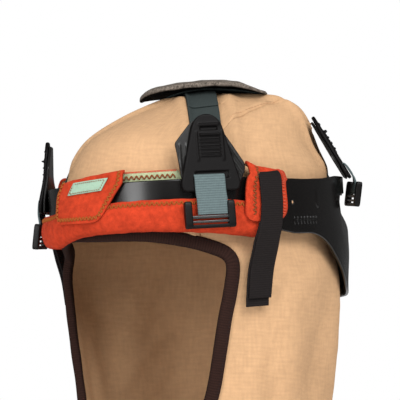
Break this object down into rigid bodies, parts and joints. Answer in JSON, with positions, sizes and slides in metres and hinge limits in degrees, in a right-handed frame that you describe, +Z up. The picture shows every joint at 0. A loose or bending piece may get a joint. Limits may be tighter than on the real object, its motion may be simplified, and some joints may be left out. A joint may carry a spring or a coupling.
{
  "type": "welding head cover",
  "caption": "Cotton welding hood with a bound face opening, worn under a webbing harness with a plastic headband, snap clips, crown pad and fleece sweatband.",
  "frame": {"origin": "where the top of a head meets the inside of the crown", "axes": "+Z up, -Y the way the face looks, +X the wearer's left"},
  "size_m": [0.201, 0.237, 0.3313],
  "materials": {
    "cotton": "plain woven cotton",
    "binding": "folded tape",
    "band": "smooth moulded plastic",
    "hanger": "satin moulded plastic",
    "clip": "matte moulded plastic",
    "webbing": "ribbed webbing",
    "strap": "ribbed webbing",
    "felt": "pressed felt",
    "fleece": "brushed fleece with a pale reverse",
    "patch": "plain woven patch",
    "tape": "woven tape"
  },
  "bodies": {
    "root": {"hood_crown_panel": "cotton", "hood_side_left": "cotton", "hood_side_right": "cotton", "face_binding": "binding", "headband": "band", "nape_slider": "clip", "hanger_front_left": "hanger", "clip_front_left": "clip", "webbing_front_left": "webbing", "buckle_front_left": "clip", "hanger_front_right": "hanger", "clip_front_right": "clip", "webbing_front_right": "webbing", "buckle_front_right": "clip", "hanger_rear_left": "hanger", "clip_rear_left": "clip", "webbing_rear_left": "webbing", "buckle_rear_left": "clip", "hanger_rear_right": "hanger", "clip_rear_right": "clip", "webbing_rear_right": "webbing", "buckle_rear_right": "clip", "sweatband": "fleece", "sweatband_patch": "patch", "tape_tail_left": "tape", "tape_tail_right": "tape", "crown_strap_under": "strap", "crown_strap_over": "strap", "crown_pad": "felt"}
  },
  "joints": []
}
